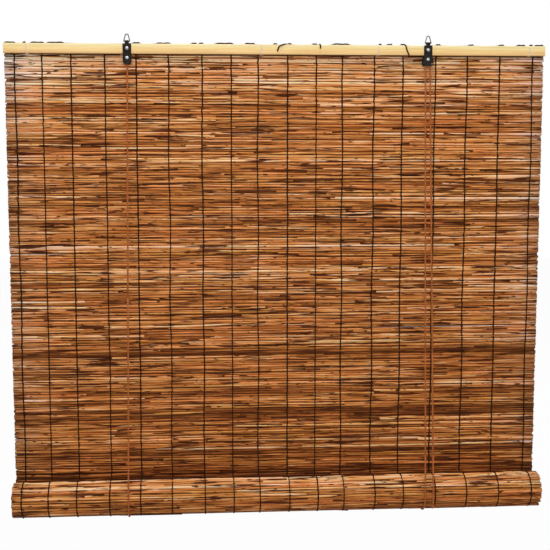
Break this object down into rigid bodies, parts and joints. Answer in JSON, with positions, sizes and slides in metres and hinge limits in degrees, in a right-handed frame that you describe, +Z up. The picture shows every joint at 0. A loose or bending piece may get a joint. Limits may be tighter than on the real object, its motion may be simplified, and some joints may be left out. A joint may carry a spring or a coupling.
{
  "type": "roll-up reed blind",
  "caption": "Roll-up window blind: a reed mat stitched with dark threads hangs from a bamboo rail on two ringed hangers, its lower end rolled up in a cord loop.",
  "frame": {"origin": "midway between the two hanging rings, at their inner tops, where hooks carry the blind", "axes": "+X along the rail to the right as seen from the front, +Y to the back, +Z up"},
  "size_m": [0.9, 0.0746, 0.8088],
  "materials": {
    "reed": "satin natural reed",
    "bamboo": "satin pale bamboo",
    "thread": "dark twisted thread",
    "tie": "pale string",
    "cord": "terracotta cord",
    "black_steel": "black enamel",
    "bright_steel": "plated",
    "nylon": "moulded",
    "brass": "plain"
  },
  "bodies": {
    "blind": {"head_rail": "bamboo", "reed_mat": "reed", "mat_threads": "thread", "top_thread": "thread", "rail_ties": "tie", "hanger_left": "black_steel", "hanger_right": "black_steel", "rail_screws": "bright_steel", "axle_rivets": "bright_steel", "cord_sleeve": "nylon", "back_eyes": "bright_steel", "cord_dead_end": "cord", "cord_left_front": "cord", "cord_left_back": "cord", "cord_cross": "cord", "cord_right_back": "cord", "cord_right_front": "cord", "cord_wheel_turn": "cord", "pull_cord": "cord"},
    "left_ring": {"ring_left": "bright_steel"},
    "right_ring": {"ring_right": "bright_steel"},
    "wheel": {"pulley_wheel": "nylon"},
    "roller": {"lock_roller": "brass"},
    "lift": {"cord_left_bight": "cord", "cord_right_bight": "cord", "pull_end": "cord"},
    "roll": {"mat_roll": "reed", "roll_threads": "thread"}
  },
  "joints": [
    {"name": "left_ring_swing", "type": "hinge", "parent": "blind", "child": "left_ring", "pos_m": [-0.25, 0, -0.0113], "axis": [1, 0, 0], "range_deg": [-80, 110]},
    {"name": "right_ring_swing", "type": "hinge", "parent": "blind", "child": "right_ring", "pos_m": [0.25, 0, -0.0113], "axis": [1, 0, 0], "range_deg": [-80, 110]},
    {"name": "pulley_spin", "type": "hinge", "parent": "blind", "child": "wheel", "pos_m": [0.25, 0, -0.0373], "axis": [0, 1, 0], "continuous": true},
    {"name": "lock_release", "type": "slide", "parent": "blind", "child": "roller", "axis": [0.4067, 0, -0.9135], "range_m": [0, 0.001]},
    {"name": "roll_lift", "type": "slide", "parent": "blind", "child": "lift", "axis": [0, 0, 1], "range_m": [0, 0.68], "deforming": ["reed_mat", "mat_threads", "cord_left_front", "cord_left_back", "cord_right_back", "cord_right_front", "pull_cord"]},
    {"name": "roll_turn", "type": "hinge", "parent": "lift", "child": "roll", "pos_m": [0, -0.0212, -0.7728], "axis": [1, 0, 0], "range_deg": [-1080, 0]}
  ],
  "couplings": [
    {"joint": "roll_turn", "follows": "roll_lift", "rad_per_m": -27.72}
  ]
}
